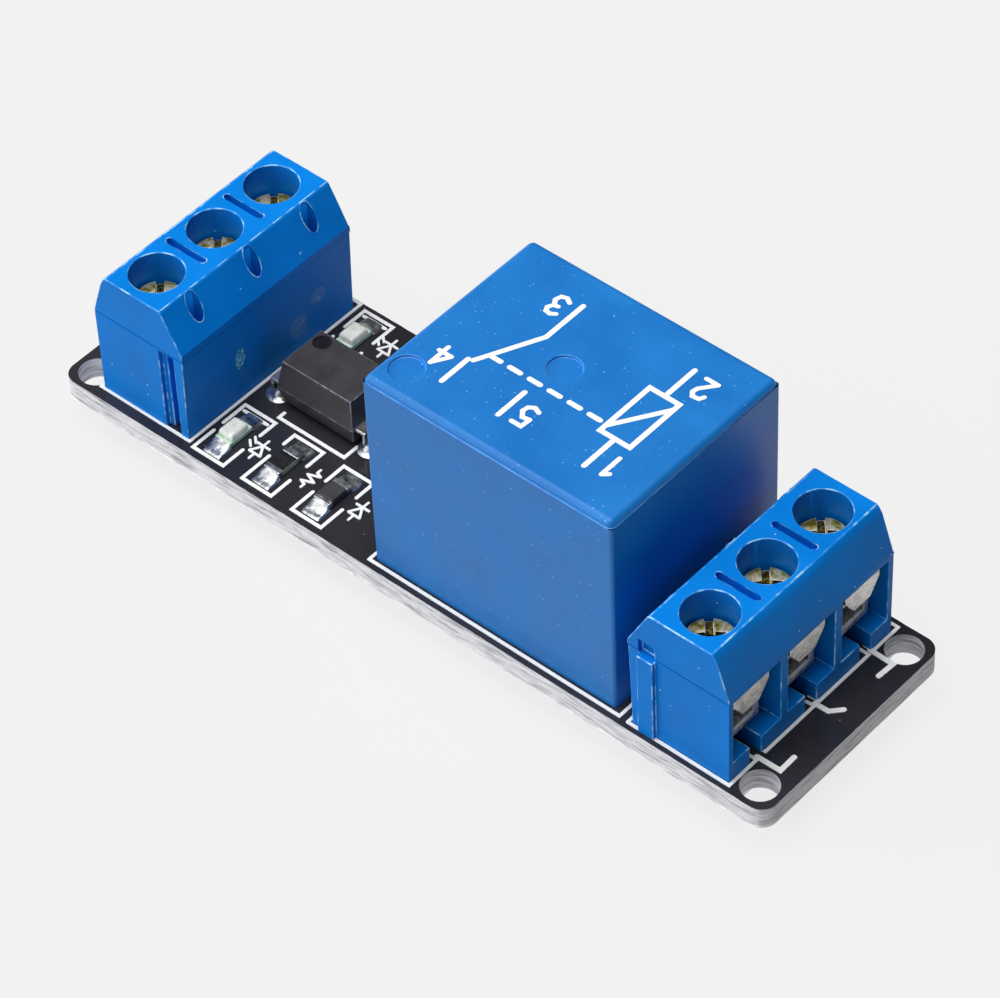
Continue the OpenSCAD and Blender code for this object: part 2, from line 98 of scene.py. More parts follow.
board_low, board_high = (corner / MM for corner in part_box("pcb"))
BOARD_TOP = board_high.z
BOARD_UNDER = board_low.z
relay_low, relay_high = (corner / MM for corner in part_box("relay_cover"))
RELAY_MIDDLE = (relay_low + relay_high) / 2
POLES = (1, 2, 3)
BLOCKS = {"in": -1, "out": 1}
screw_place = {(side, pole): centre(f"screw_{side}_{pole}") for side in BLOCKS for pole in POLES}
opto_place = centre("opto_body")
CHIPS = ("led_1_base", "led_2_base", "resistor_1", "resistor_2", "resistor_3", "diode")
chip_places = [centre(node) for node in CHIPS]
node_body = {
    node: body
    for body, nodes in frame["record"]["behaviour"]["bodies"].items()
    for node in nodes
}

# ---- node trees ----


def add(tree, kind, inputs=None, **settings):
    """Adds a node with its settings, and sets or links each named input."""
    node = tree.nodes.new(kind)
    for key, value in settings.items():
        setattr(node, key, value)
    for key, value in (inputs or {}).items():
        if isinstance(value, bpy.types.NodeSocket):
            tree.links.new(value, node.inputs[key])
        else:
            node.inputs[key].default_value = value
    return node


def maths(tree, operation, a, b):
    """The result of one operation on two values or sockets."""
    return add(tree, "ShaderNodeMath", {0: a, 1: b}, operation=operation).outputs[0]


def carried(tree, value, given, wanted):
    """A value carried from one range onto another and held at its ends."""
    ends = {"From Min": given[0], "From Max": given[1], "To Min": wanted[0], "To Max": wanted[1]}
    return add(tree, "ShaderNodeMapRange", {"Value": value, **ends}).outputs["Result"]


def noise(tree, place, size, detail):
    """Cloudy noise whose features are the given millimetres wide."""
    inputs = {"Vector": place, "Scale": per_mm(size), "Detail": detail}
    return add(tree, "ShaderNodeTexNoise", inputs).outputs["Fac"]


def linear(hex_colour):
    """An sRGB hex colour as linear red, green, blue and alpha."""
    parts = [int(hex_colour[i : i + 2], 16) / 255 for i in (1, 3, 5)]
    return tuple(
        c / 12.92 if c <= 0.04045 else ((c + 0.055) / 1.055) ** 2.4 for c in parts
    ) + (1.0,)


def per_mm(size):
    """Texture scale that makes one feature this many millimetres wide."""
    return 1 / (size * MM)


MOSTLY_SMALL = 1.5  # power that keeps most specks of dust small


def surface(
    name,
    colours,
    blotch=3.0,
    rough=(0.4, 0.5),
    grain=0.1,
    height=0.002,
    stretch=(1, 1, 1),
    turn=(0, 0, 0),
    spread=(0.35, 0.65),
    flecks=None,
    **shader_inputs,
):
    """A finish whose colour and gloss drift over blotch millimetres.

    The grain has the given width and height, in millimetres too. Flecks are specks of dust: a
    colour, the mean distance between them and the largest radius.
    """
    material = bpy.data.materials.new(name)
    material.use_nodes = True
    tree = material.node_tree
    tree.nodes.clear()
    place = add(tree, "ShaderNodeTexCoord")
    turned = add(
        tree,
        "ShaderNodeMapping",
        {"Vector": place.outputs["Object"], "Rotation": turn, "Scale": stretch},
    )
    drift = noise(tree, turned.outputs[0], blotch, 5.0)
    ramp = add(tree, "ShaderNodeValToRGB", {"Fac": drift})
    stops = ramp.color_ramp.elements
    for i, colour in enumerate(colours):
        at = spread[0] + (spread[1] - spread[0]) * i / max(len(colours) - 1, 1)
        stop = stops[i] if i < 2 else stops.new(at)
        stop.position, stop.color = at, linear(colour)
    colour = ramp.outputs["Color"]
    if flecks:
        speck_colour, apart, radius = flecks
        cells = add(
            tree,
            "ShaderNodeTexVoronoi",
            {"Vector": turned.outputs[0], "Scale": per_mm(apart), "Randomness": 1.0},
        )
        chance = add(tree, "ShaderNodeSeparateColor", {0: cells.outputs["Color"]})
        reach = maths(tree, "POWER", chance.outputs[0], MOSTLY_SMALL)
        near = maths(tree, "MULTIPLY", reach, radius / apart)
        on_speck = maths(tree, "LESS_THAN", cells.outputs["Distance"], near)
        speckled = add(
            tree,
            "ShaderNodeMix",
            {0: on_speck, 6: colour, 7: linear(speck_colour)},
            data_type="RGBA",
        )
        colour = speckled.outputs[2]
    gloss = carried(tree, drift, (0.3, 0.7), rough)
    fine = noise(tree, turned.outputs[0], grain, 3.0)
    bump = add(tree, "ShaderNodeBump", {"Height": fine, "Distance": height * MM, "Strength": 1.0})
    shader = add(
        tree,
        "ShaderNodeBsdfPrincipled",
        {
            "Base Color": colour,
            "Roughness": gloss,
            "Normal": bump.outputs["Normal"],
            **shader_inputs,
        },
    )
    add(tree, "ShaderNodeOutputMaterial", {"Surface": shader.outputs[0]})
    return material


# Moulded polyamide 66: saturated blue body, soft sheen from the spark-eroded mould
block_blue = surface(
    "moulded_polyamide_blue", ("#0078d4", "#0082e2"), blotch=4, rough=(0.36, 0.48), grain=0.09,
    height=0.004, flecks=("#9fd0f4", 1.0, 0.08), **{"Specular IOR Level": 0.1},
)
# The same polyamide along every edge: a paler burr, partly real moulding flash and partly a painted
# highlight
block_burr_and_highlight = surface(
    "moulded_polyamide_burr_and_highlight", ("#0582e6", "#2e9af0", "#a4daff"), blotch=0.9, spread=(0.4, 0.59),
    rough=(0.38, 0.5), grain=0.08, height=0.006,
)
# Moulded PBT cover: slightly greener blue with a fine even spark grain that glances pale at low angles
relay_blue = surface(
    "moulded_pbt_cover", ("#006dbe", "#0078ca"), blotch=5, rough=(0.38, 0.48), grain=0.14,
    height=0.014, flecks=("#7fb0e6", 0.36, 0.05),
)
# Rounded edges and corners of the cover, painted paler: a painted highlight
relay_edge_highlight = surface(
    "moulded_pbt_painted_edge_highlight", ("#0f74d4", "#4a9ae6"), blotch=1.0, rough=(0.36, 0.46), grain=0.12,
    height=0.006,
)
# Liquid black solder mask cured to a mirror gloss, faint orange peel
mask_black = surface(
    "solder_mask_black", ("#2a292e", "#333237"), blotch=6, rough=(0.1, 0.17), grain=1.1,
    height=0.004, flecks=("#7d8084", 0.6, 0.05),
)
# Sawn FR4 laminate: pale glass bundles in layers, chalky and torn
laminate_edge = surface(
    "sawn_glass_laminate", ("#a4a3a6", "#d6d6dc", "#f6f6fa"), blotch=0.42, rough=(0.55, 0.75),
    grain=0.1, height=0.012, stretch=(0.2, 0.2, 1.7), spread=(0.32, 0.56),
)
# Screen-printed epoxy ink: flat chalk white
white_ink = surface(
    "printed_white_ink", ("#f3f4f2", "#fcfdfb"), blotch=0.5, rough=(0.5, 0.65), grain=0.06,
    height=0.003,
)
# Steel screw, zinc plated and yellow passivated: straw gold drifting to pink and green
screw_zinc = surface(
    "yellow_passivated_zinc", ("#c09a30", "#ecd468", "#fffad8", "#eebb7c"), blotch=0.6,
    spread=(0.36, 0.66), rough=(0.36, 0.56), grain=0.12, height=0.006, Metallic=0.9,
)
# Rounded edges and corners of the same screw, painted near-white: a painted glint
screw_edge_glint = surface(
    "painted_screw_edge_glint", ("#e6dcb4", "#fffdf4"), blotch=0.3, rough=(0.5, 0.6), grain=0.1,
    height=0.004, Metallic=0.3,
)
# Bottom of the driver slot: the same plating painted dark, olive and dull, as painted shade in the slot
slot_shade = surface(
    "driver_slot_painted_shade", ("#2b250f", "#5a4f24", "#8a7c42"), blotch=0.2, rough=(0.36, 0.5),
    grain=0.1, height=0.01, Metallic=1.0,
)
# Nickel-plated stamped steel: bright, faintly warm
cage_nickel = surface(
    "nickel_plated_steel", ("#c4c0b8", "#f4f2ec"), blotch=0.4, rough=(0.36, 0.5), grain=0.15,
    height=0.008, Metallic=0.8,
)
# Coined teeth of the cage floor, painted near-white and little metallic: a painted glint that keeps
# them bright in the dark cage
teeth_glint = surface(
    "coined_teeth_painted_glint", ("#dedbd2", "#ffffff"), blotch=0.2, rough=(0.4, 0.55), grain=0.08,
    height=0.01, Metallic=0.2,
)
# Tin-plated strip with the mill's rolling grain running across it at a slant
strip_steel = surface(
    "rolled_tinned_strip", ("#aaa6a1", "#c8c5c0", "#dddad6"), blotch=0.16, rough=(0.3, 0.46),
    grain=0.06, height=0.006, stretch=(1, 0.35, 1), turn=(math.radians(38), 0, 0), Metallic=1.0,
)
# Reflowed and wave-soldered tin: bright skin with cooling ripples
bright_solder = surface(
    "bright_solder", ("#a6a9ab", "#e4e7e8"), blotch=0.45, rough=(0.24, 0.42), grain=0.3,
    height=0.03, Metallic=1.0,
)
# Hot-dip tinned copper-alloy leads
tinned_lead = surface(
    "tinned_copper_lead", ("#b9b8b4", "#dddcd9"), blotch=0.7, rough=(0.2, 0.34), grain=0.1,
    height=0.005, Metallic=1.0,
)
# Transfer-moulded epoxy package: charcoal, fine silica grain
epoxy_black = surface(
    "moulded_epoxy_black", ("#302e31", "#3b383b"), blotch=1.2, rough=(0.42, 0.56), grain=0.07,
    height=0.006,
)
# The same epoxy on every rounded edge, the mould's parting line too: painted grey, a painted highlight
epoxy_edge_highlight = surface(
    "moulded_epoxy_painted_edge_highlight", ("#454349", "#6e6c74", "#8e8c94"), blotch=0.4, rough=(0.4, 0.5),
    grain=0.07, height=0.006,
)
# Polished dimple that marks the first pin
pin_dimple = surface(
    "polished_pin_dimple", ("#161417", "#1f1d21"), blotch=0.5, rough=(0.2, 0.3), grain=0.2,
)
# Chip resistor's overglaze: black glass over the film
glaze_black = surface(
    "resistor_overglaze", ("#1b1b1d", "#29292b"), blotch=0.5, rough=(0.2, 0.34), grain=0.15,
    height=0.006,
)
# Alumina chip body: matt off-white
alumina = surface(
    "sintered_alumina", ("#9b9a88", "#bdbbaa"), blotch=0.3, rough=(0.45, 0.6), grain=0.06,
    height=0.004,
)
# LED carrier: off-white laminate, tinted green in places by its solder mask
led_carrier = surface(
    "led_carrier_laminate", ("#a9d6ba", "#e4ebe0"), blotch=0.5, rough=(0.4, 0.5), grain=0.08,
    height=0.004,
)
# LED lens: cast silicone-epoxy, milky and smooth
led_resin = surface(
    "cast_milky_resin", ("#dcdfd2", "#f6f8f0"), blotch=0.5, rough=(0.12, 0.2), grain=0.4,
    height=0.006, IOR=1.52,
)
# Natural nylon bobbin
bobbin_nylon = surface("natural_nylon", ("#d9d6c8", "#ece9dc"), rough=(0.4, 0.5))
# Enamelled magnet wire, one turn beside the next
coil_copper = surface(
    "enamelled_magnet_wire", ("#8a4420", "#b9693a"), blotch=0.12, rough=(0.2, 0.3), grain=0.12,
    height=0.02, stretch=(0.05, 0.05, 1), Metallic=1.0,
)
# Zinc-plated soft iron of the magnet frame
magnet_iron = surface("zinc_plated_iron", ("#77797c", "#94979b"), rough=(0.3, 0.42), Metallic=1.0)
# Rolled phosphor bronze spring strip
spring_bronze = surface(
    "phosphor_bronze_strip", ("#a8713c", "#c48c52"), rough=(0.24, 0.34), stretch=(0.2, 1, 1),
    Metallic=1.0,
)
# Silver alloy rivet faces
contact_silver = surface(
    "silver_alloy_rivet", ("#cfcdc8", "#e6e5e1"), rough=(0.12, 0.22), Metallic=1.0,
)
# Glass-filled black base of the relay
base_black = surface("glass_filled_pbt_black", ("#121214", "#1c1c1f"), rough=(0.5, 0.6))
# Paper sweep under the board
paper = surface(
    "white_paper", ("#a4a4a4", "#acacac"), blotch=60, rough=(0.7, 0.8), grain=0.5, height=0.0,
)

# The camera, and rays that a finish mirrors or lets through, see the paper mostly as plain white
# light, so that its shadows stay faint
WHITE_SHARE = 0.82
paper_tree = paper.node_tree
seen = add(paper_tree, "ShaderNodeLightPath").outputs
seen_or_mirrored = maths(paper_tree, "MAXIMUM", seen["Is Camera Ray"], seen["Is Glossy Ray"])
looked_at = maths(paper_tree, "MAXIMUM", seen_or_mirrored, seen["Is Transmission Ray"])
share = maths(paper_tree, "MULTIPLY", looked_at, WHITE_SHARE)
plain_white = add(paper_tree, "ShaderNodeEmission", {"Color": linear("#fdfdfd"), "Strength": 1.0})
paper_end = next(node for node in paper_tree.nodes if node.type == "OUTPUT_MATERIAL")
mixed = add(
    paper_tree,
    "ShaderNodeMixShader",
    {0: share, 1: paper_end.inputs[0].links[0].from_socket, 2: plain_white.outputs[0]},
)
paper_tree.links.new(mixed.outputs[0], paper_end.inputs[0])

SLOT_FINISH = {
    "board_mask": mask_black,
    "block_plastic": block_blue,
    "contact_steel": strip_steel,
    "clamp_nickel": cage_nickel,
    "screw_zinc": screw_zinc,
    "relay_plastic": relay_blue,
    "base_plastic": base_black,
    "bobbin_plastic": bobbin_nylon,
    "coil_wire": coil_copper,
    "magnet_iron": magnet_iron,
    "tinned_pin": tinned_lead,
    "spring_bronze": spring_bronze,
    "contact_silver": contact_silver,
    "black_epoxy": epoxy_black,
    "resistor_glaze": glaze_black,
    "led_ceramic": led_carrier,
    "led_resin": led_resin,
    "solder": bright_solder,
}
node_slot = {part["node"]: part["material_slot"] for part in frame["record"]["subparts"]}
for name, item in frame["nodes"].items():
    item.data.materials.clear()
    item.data.materials.append(SLOT_FINISH[node_slot[name]])

# ---- making pieces ----


def piece(name, mesh, finishes, body, replaced=()):
    """Puts a finished mesh into the scene, on its body and in its slot."""
    item = linked(name, mesh)
    if not mesh.materials:
        for finish in finishes:
            mesh.materials.append(finish)
    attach(item, body)
    if replaced:
        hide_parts(*replaced)
    return item


def smoothed(mesh, degrees):
    """Shades a mesh smooth, with sharp edges where it turns by more than the degrees."""
    mesh.shade_smooth()
    mesh.set_sharp_from_angle(angle=math.radians(degrees))


def mesh_of(name, work, smooth=None):
    """Turns a bmesh into a mesh, smooth across edges flatter than the given degrees."""
    mesh = bpy.data.meshes.new(name)
    work.to_mesh(mesh)
    work.free()
    if smooth is not None:
        smoothed(mesh, smooth)
    return mesh


def closed_mesh(name, work, smooth=None):
    """Turns a closed bmesh into a mesh whose faces look outward."""
    bmesh.ops.recalc_face_normals(work, faces=work.faces)
    return mesh_of(name, work, smooth)


def skin(work, rings, finish=0):
    """Faces between each ring of corners and the next."""
    for a, b in zip(rings, rings[1:]):
        for k in range(len(a)):
            n = (k + 1) % len(a)
            work.faces.new((a[k], a[n], b[n], b[k])).material_index = finish


def caps(work, rings):
    """Faces that close the first and the last ring."""
    work.faces.new(rings[0])
    work.faces.new(rings[-1])


def round_edges(item, width, finish=-1, angle=None):
    """Rounds a piece's weighted edges, or those sharper than an angle, in a finish by its index."""
    bevel = item.modifiers.new("rounded edges", "BEVEL")
    bevel.width = width * MM
    bevel.segments = 2
    bevel.limit_method = "ANGLE" if angle else "WEIGHT"
    bevel.angle_limit = math.radians(angle or 30)
    bevel.use_clamp_overlap = False
    bevel.material = finish
    shading = item.modifiers.new("flat faces stay flat", "WEIGHTED_NORMAL")
    shading.keep_sharp = True
    shading.weight = 100


IN_LINE = 0.85  # cosine above which two edges count as one line


def has_room(edge, width):
    """Whether both faces beside an edge, and the edges that meet it, are long enough to round it."""
    along = edge.verts[1].co - edge.verts[0].co
    for loop in edge.link_loops:
        face = loop.face
        if face.calc_area() < 2 * width * max(side.calc_length() for side in face.edges):
            return False
        for near in (loop.link_loop_prev.edge, loop.link_loop_next.edge):
            other = near.verts[1].co - near.verts[0].co
            in_line = abs(along.normalized().dot(other.normalized())) > IN_LINE
            if not in_line and other.length < 2 * width:
                return False
    return True


def burr_and_highlight_lines(node, edges, radius, finish):
    """A fine ragged burr along edges too crowded to round, as one piece beside the node's copy. Its
    pale finish is partly a painted highlight.
    """
    draw = random.Random(23)
    work = bmesh.new()
    for edge in edges:
        a, b = (vert.co for vert in edge.verts)
        out = sum((face.normal for face in edge.link_faces), Vector()).normalized()
        along = (b - a).normalized()
        side = along.cross(out)
        ends = []
        for point, slip in ((a, -0.3), (b, 0.3)):
            reach = radius * MM * (0.4 + 0.9 * draw.random())
            middle = point + along * slip * reach
            corners = (side, out, -side, -out)
            ends.append([work.verts.new(middle + corner * reach) for corner in corners])
        skin(work, ends)
        caps(work, ends)
    name = f"{node}_burr"
    piece(name, closed_mesh(name, work), [finish], node_body[node])


SAME_CORNER, TINY_EDGE = 1e-7, 1e-6  # metres
NEARLY_FLAT = math.radians(0.5)
CURVE_FROM, CURVE_TO = math.radians(1), math.radians(30)  # turns between the facets of a curve


def dressed(node, finishes, width, edge_finish=-1, angle=32, burr=0.0, burr_above=0.0):
    """A copy of a CAD solid with merged corners and rounded edges, standing for the node."""
    work = bmesh.new()
    work.from_mesh(frame["nodes"][node].data)
    bmesh.ops.remove_doubles(work, verts=work.verts, dist=SAME_CORNER)
    bmesh.ops.dissolve_degenerate(work, edges=work.edges, dist=TINY_EDGE)
    bmesh.ops.dissolve_limit(work, angle_limit=NEARLY_FLAT, verts=work.verts, edges=work.edges)
    bmesh.ops.recalc_face_normals(work, faces=work.faces)
    weight = work.edges.layers.float.new("bevel_weight_edge")
    crowded = []
    for edge in work.edges:
        if edge.calc_face_angle(0) > math.radians(angle):
            if has_room(edge, width * MM):
                edge[weight] = 1.0
            elif edge.is_convex and edge.verts[0].co.z > burr_above * MM:
                crowded.append(edge)
    if burr:
        burr_and_highlight_lines(node, crowded, burr, finishes[edge_finish])
    flat = [
        face.index
        for face in work.faces
        if not any(CURVE_FROM < edge.calc_face_angle(0) < CURVE_TO for edge in face.edges)
    ]
    mesh = mesh_of(f"{node}_dressed", work, smooth=30)
    for index in flat:
        mesh.polygons[index].use_smooth = False
    item = piece(f"{node}_dressed", mesh, finishes, node_body[node], [node])
    round_edges(item, width, edge_finish)
    return item


def strip(work, path, width, low, high, closed=False):
    """A flat ribbon along a path on the board plane, mitred at its turns and round at its ends."""
    points = [Vector(p) for p in path]
    count = len(points)
    rows = []
    for i, point in enumerate(points):
        before = points[i - 1] if closed or i else None
        after = points[(i + 1) % count] if closed or i < count - 1 else None
        sides = []
        for a, b in ((before, point), (point, after)):
            if a is not None and b is not None:
                d = (b - a).normalized()
                sides.append(Vector((-d.y, d.x)))
        mitre = sum(sides, Vector((0, 0))) / len(sides)
        mitre /= mitre.length_squared
        rows.append((point + mitre * width / 2, point - mitre * width / 2))

    def corner(p, z):
        return work.verts.new((p.x * MM, p.y * MM, z * MM))

    made = [(corner(l, low), corner(r, low), corner(r, high), corner(l, high)) for l, r in rows]
    skin(work, made + made[:1] if closed else made)
    if closed:
        return
    for end, inner in ((0, 1), (-1, -2)):
        away = (points[end] - points[inner]).normalized()
        start = rows[end][0] - points[end]
        sign = 1 if start.cross(away) > 0 else -1
        arcs = []
        for step in range(1, 6):
            a = sign * math.pi * step / 6
            c, s = math.cos(a), math.sin(a)
            turned = Vector((start.x * c - start.y * s, start.x * s + start.y * c))
            arcs.append(points[end] + turned)
        lows = [made[end][0]] + [corner(p, low) for p in arcs] + [made[end][1]]
        highs = [made[end][3]] + [corner(p, high) for p in arcs] + [made[end][2]]
        work.faces.new(lows)
        work.faces.new(highs)
        for k in range(len(lows) - 1):
            work.faces.new((lows[k], lows[k + 1], highs[k + 1], highs[k]))


def strokes(path, sharpest=100):
    """Splits a path where it turns by more than the given degrees, as a round pen would lift."""
    made = [[path[0]]]
    for before, point, after in zip(path, path[1:], path[2:]):
        made[-1].append(point)
        arriving, leaving = Vector(point) - Vector(before), Vector(after) - Vector(point)
        if arriving.angle(leaving) > math.radians(sharpest):
            made.append([point])
    made[-1].append(path[-1])
    return made


def ribbons(name, groups, finish):
    """One piece of many ribbons: groups of (paths, width, low, high, closed)."""
    work = bmesh.new()
    lift = 0.0
    for paths, width, low, high, closed in groups:
        for whole in paths:
            for path in [whole] if closed else strokes(whole):
                strip(work, path, width, low - lift, high + lift, closed)
                lift += 0.0005
    piece(name, closed_mesh(name, work), [finish], "module")


def rectangle(x0, y0, x1, y1):
    return [(x0, y0), (x1, y0), (x1, y1), (x0, y1)]


def circle_path(x, y, radius, count):
    step = math.tau / count
    return [
        (x + radius * math.cos(step * k), y + radius * math.sin(step * k))
        for k in range(count)
    ]


# ---- board ----

PIN_BEHIND_SCREW = 1.85
block_pins = [
    (screw_place[key].x - BLOCKS[key[0]] * PIN_BEHIND_SCREW, screw_place[key].y)
    for key in screw_place
]
RELAY_PIN_Y = 6.0
COMMON_PIN, CONTACT_PIN, COIL_PIN = -7.35, 6.8, -5.4
relay_pins = [
    (RELAY_MIDDLE.x + COMMON_PIN, 0.0),
    (RELAY_MIDDLE.x + CONTACT_PIN, -RELAY_PIN_Y),
    (RELAY_MIDDLE.x + CONTACT_PIN, RELAY_PIN_Y),
]
coil_pins = [(RELAY_MIDDLE.x + COIL_PIN, y) for y in (-RELAY_PIN_Y, RELAY_PIN_Y)]
OPTO_ROW, OPTO_LEAD = 3.81, 1.27
opto_pins = [
    (opto_place.x + sx * OPTO_ROW, opto_place.y + sy * OPTO_LEAD)
    for sx in (-1, 1)
    for sy in (-1, 1)
]
MOUNT_INSET = 1.6
MOUNT_HOLE, PIN_HOLE, LEAD_HOLE = 1.2, 0.65, 0.45
CORNER_RADIUS = 1.1


def board_mesh():
    """Slab with torn sawn sides and drilled holes: faces of the mask first, then the bare laminate."""
    draw = random.Random(11)
    half = (board_high - board_low) / 2
    radius = CORNER_RADIUS
    step = 0.2
    outline = []
    for cx, cy, start in (
        (half.x - radius, half.y - radius, 0),
        (-half.x + radius, half.y - radius, 90),
        (-half.x + radius, -half.y + radius, 180),
        (half.x - radius, -half.y + radius, 270),
    ):
        arc = []
        for k in range(13):
            turn = math.radians(start + k * 90 / 12)
            arc.append(Vector((cx + radius * math.cos(turn), cy + radius * math.sin(turn))))
        if outline:
            outline += straight(outline[-1], arc[0], step)
        outline += arc
    outline += straight(outline[-1], outline[0], step)
    levels = [0, 0.05, 0.22, 0.45, 0.7, 0.95, 1.2, 1.4, 1.54, 1.6]
    work = bmesh.new()
    pull = {}
    count = len(outline)
    for i in range(len(levels)):
        rough = [draw.random() for _ in range(count)]
        pull[i] = [(rough[k - 1] + 2 * rough[k] + rough[(k + 1) % count]) / 4 for k in range(count)]
    rings = []
    for i, level in enumerate(levels):
        rim = i in (0, len(levels) - 1)
        ring = []
        for k, p in enumerate(outline):
            before, after = outline[k - 1], outline[(k + 1) % count]
            along = (after - before).normalized()
            outward = Vector((along.y, -along.x))
            sawn = abs(outward.y) > 0.9
            deep = (0.03 if rim else 0.1) if sawn else (0.005 if rim else 0.015)
            q = p - outward * deep * pull[i][k]
            ring.append(work.verts.new((q.x * MM, q.y * MM, (BOARD_UNDER + level) * MM)))
        rings.append(ring)
    loops = [rings]
    holes = [
        (sx * (half.x - MOUNT_INSET), sy * (half.y - MOUNT_INSET), MOUNT_HOLE, 48)
        for sx in (-1, 1)
        for sy in (-1, 1)
    ]
    holes += [(x, y, PIN_HOLE, 20) for x, y in block_pins + relay_pins + coil_pins]
    holes += [(x, y, LEAD_HOLE, 16) for x, y in opto_pins]
    for x, y, r, n in holes:
        loops.append(
            [
                [
                    work.verts.new((px * MM, py * MM, (BOARD_UNDER + level) * MM))
                    for px, py in circle_path(x, y, r, n)
                ]
                for level in (0, 0.8, 1.6)
            ]
        )
    for hole in loops:
        skin(work, hole, finish=1)
    for rim in (0, -1):
        edges = []
        for hole in loops:
            ring = hole[rim]
            edges += [
                work.edges.get((ring[k], ring[(k + 1) % len(ring)]))
                for k in range(len(ring))
            ]
        bmesh.ops.triangle_fill(work, use_beauty=True, use_dissolve=False, edges=edges)
    return closed_mesh("board", work, smooth=40)


def straight(a, b, step):
    """Points between two corners, without the corners."""
    count = max(int((b - a).length / step), 1)
    return [a.lerp(b, k / count) for k in range(1, count)]


piece("board", board_mesh(), [mask_black, laminate_edge], "module", ["pcb"])

# copper under the mask stands up a little; heavy tracks carry the contact current
TRACK = 0.018
track_top = [
    [(-19.9, -5.0), (-18.6, -6.9), (-13.6, -7.0), (-12.9, -6.6)],
    [(-15.9, -3.7), (-14.4, -2.2), (-13.0, -2.2), (-12.0, -3.2), (-12.0, -4.2)],
    [(-7.9, -4.0), (-7.0, -3.0), (-5.2, -3.0), (-3.4, -4.8), (-3.4, -6.4), (-1.2, -7.9)],
    [(-8.7, 1.7), (-7.2, 3.2), (-6.0, 3.2)],
    [(-8.7, -0.9), (-7.4, -2.0), (-4.4, -2.0), (-2.9, -0.6)],
    [(-19.9, 5.2), (-18.4, 6.4), (-16.2, 6.4)],
]
track_under = [
    [(13.8, -6.0), (15.6, -5.9), (18.2, -5.4), (19.8, -5.28)],
    [(13.8, 6.0), (15.6, 5.6), (18.2, 5.0), (19.8, 4.88)],
    [(-0.3, 0.0), (6.0, -0.1), (14.0, -0.2), (19.8, -0.2)],
]
track_under_thin = [
    [(1.6, -6.0), (-3.0, -6.0), (-5.4, -4.2), (-8.7, -0.9)],
    [(1.6, 6.0), (-4.0, 6.0), (-7.6, 3.6), (-13.0, 3.6), (-16.4, 1.7)],
    [(-19.9, 0.1), (-18.0, -0.9), (-16.4, -0.9)],
    [(-19.9, 5.18), (-17.0, 5.2), (-12.0, 5.9), (-6.0, 5.9)],
    [(-19.9, -4.98), (-15.5, -5.6), (-9.0, -5.6), (-6.4, -3.4), (-8.7, 1.7)],
]
low_top, high_top = BOARD_TOP - 0.02, BOARD_TOP + TRACK
low_under, high_under = BOARD_UNDER - TRACK, BOARD_UNDER + 0.02
ribbons(
    "masked_tracks",
    [
        (track_top, 0.7, low_top, high_top, False),
        (track_under, 3.0, low_under, high_under, False),
        (track_under_thin, 0.9, low_under, high_under, False),
    ],
    mask_black,
)

# printed outlines and circuit marks on the board
INK = 0.045
ink_low, ink_high = BOARD_TOP - 0.02, BOARD_TOP + INK
fine_lines = []
for x0, x1, y0, y1, gap_left, gap_right in (
    (-17.3, -14.75, -7.68, -3.0, (-5.82, -4.98), (-5.94, -4.38)),
    (-13.14, -10.73, -7.7, -3.0, (-5.29, -3.98), (-6.02, -4.5)),
    (-9.0, -6.6, -7.72, -3.05, (-5.84, -4.68), (-5.82, -4.55)),
    (-17.2, -14.8, 3.2, 7.85, (4.9, 6.0), (4.9, 6.0)),
    (-12.2, -9.8, 3.3, 7.8, (4.9, 6.1), (4.9, 6.1)),
    (-9.7, -7.35, 3.3, 7.8, (4.9, 6.1), (4.9, 6.1)),
):
    fine_lines.append([(x0, gap_left[0]), (x0, y0), (x1, y0), (x1, gap_right[0])])
    fine_lines.append([(x0, gap_left[1]), (x0, y1), (x1, y1), (x1, gap_right[1])])
fine_lines += [
    [(-17.0, -3.42), (-15.05, -3.42)],
    [(-16.9, 7.45), (-15.1, 7.45)],
    [(-14.93, -2.0), (-14.93, -2.5), (-9.48, -2.5), (-9.48, -1.3)],
    [(-14.93, 2.9), (-14.93, 3.3), (-9.48, 3.3), (-9.48, 2.2)],
]
outlines = [rectangle(-25.38, -7.46, -17.78, 8.13), rectangle(-2.59, -7.8, 16.96, 7.8)]
HEAD_TO_FRONT, HEAD_TO_BACK = 3.47, 3.85  # from a screw to its block's front and back wall
front = screw_place["out", 2].x + HEAD_TO_FRONT
output_outline = [
    [(24.5, -5.36), (front, -5.36), (front, -7.85), (17.62, -7.85)],
    [(17.62, -7.85), (17.62, 7.84), (front, 7.84), (front, 5.48), (24.5, 5.48)],
    [(24.4, -4.58), (front, -4.56), (front, -0.06), (24.6, -0.1)],
    [(24.45, 0.36), (front, 0.41), (front, 5.05), (24.45, 5.06)],
]
contact_marks = [
    [(25.02, -5.16), (26.72, -5.13), (26.70, -3.85)],
    [(25.08, 0.1), (26.06, 0.13), (26.66, 0.79)],
    [(24.96, 5.40), (26.70, 5.35), (26.62, 4.1)],
]


def placed(paths, x, y, turn=0.0, size=1.0):
    """Paths moved, turned by degrees and scaled about their own origin."""
    c, s = math.cos(math.radians(turn)) * size, math.sin(math.radians(turn)) * size
    return [[(x + px * c - py * s, y + px * s + py * c) for px, py in path] for path in paths]


